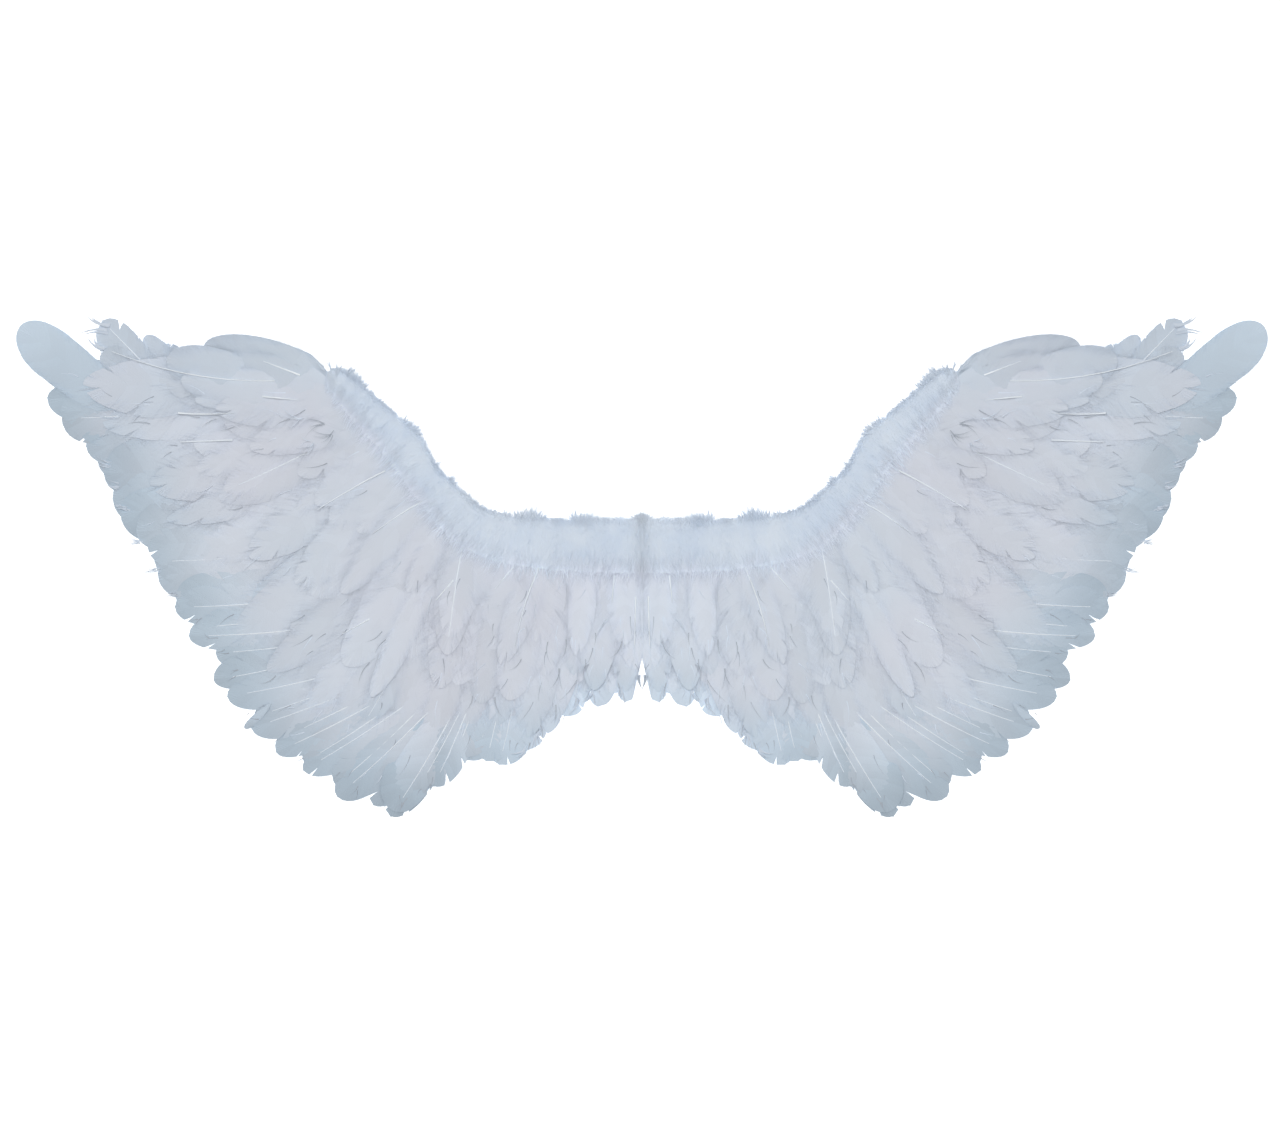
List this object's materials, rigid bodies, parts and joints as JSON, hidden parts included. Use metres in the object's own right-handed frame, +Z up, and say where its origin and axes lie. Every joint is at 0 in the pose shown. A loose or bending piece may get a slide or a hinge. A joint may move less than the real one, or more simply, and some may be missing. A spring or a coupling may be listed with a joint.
{
  "type": "feather costume wings",
  "caption": "Pair of white feather costume wings: overlapping feather rows on a felt backing, a fluffy trim along the top edge and elastic shoulder straps behind.",
  "frame": {"origin": "middle of the wings in plan, on the surface that they lie on", "axes": "+X along the span to the right as the picture shows it, +Y towards the top edge as worn, +Z up, out of the feathered face"},
  "size_m": [0.9998, 0.3959, 0.039],
  "materials": {
    "feathers": "soft matt feather vanes, white in a cool light",
    "fluff": "downy marabou fluff",
    "felt": "stiff white felt",
    "elastic": "woven white elastic"
  },
  "bodies": {
    "root": {"backing": "felt", "left_flight_feathers": "feathers", "left_second_row": "feathers", "left_third_row": "feathers", "left_coverts": "feathers", "left_wrist_feathers": "feathers", "left_trim": "fluff", "left_shoulder_strap": "elastic", "right_flight_feathers": "feathers", "right_second_row": "feathers", "right_third_row": "feathers", "right_coverts": "feathers", "right_wrist_feathers": "feathers", "right_trim": "fluff", "right_shoulder_strap": "elastic"}
  },
  "joints": []
}
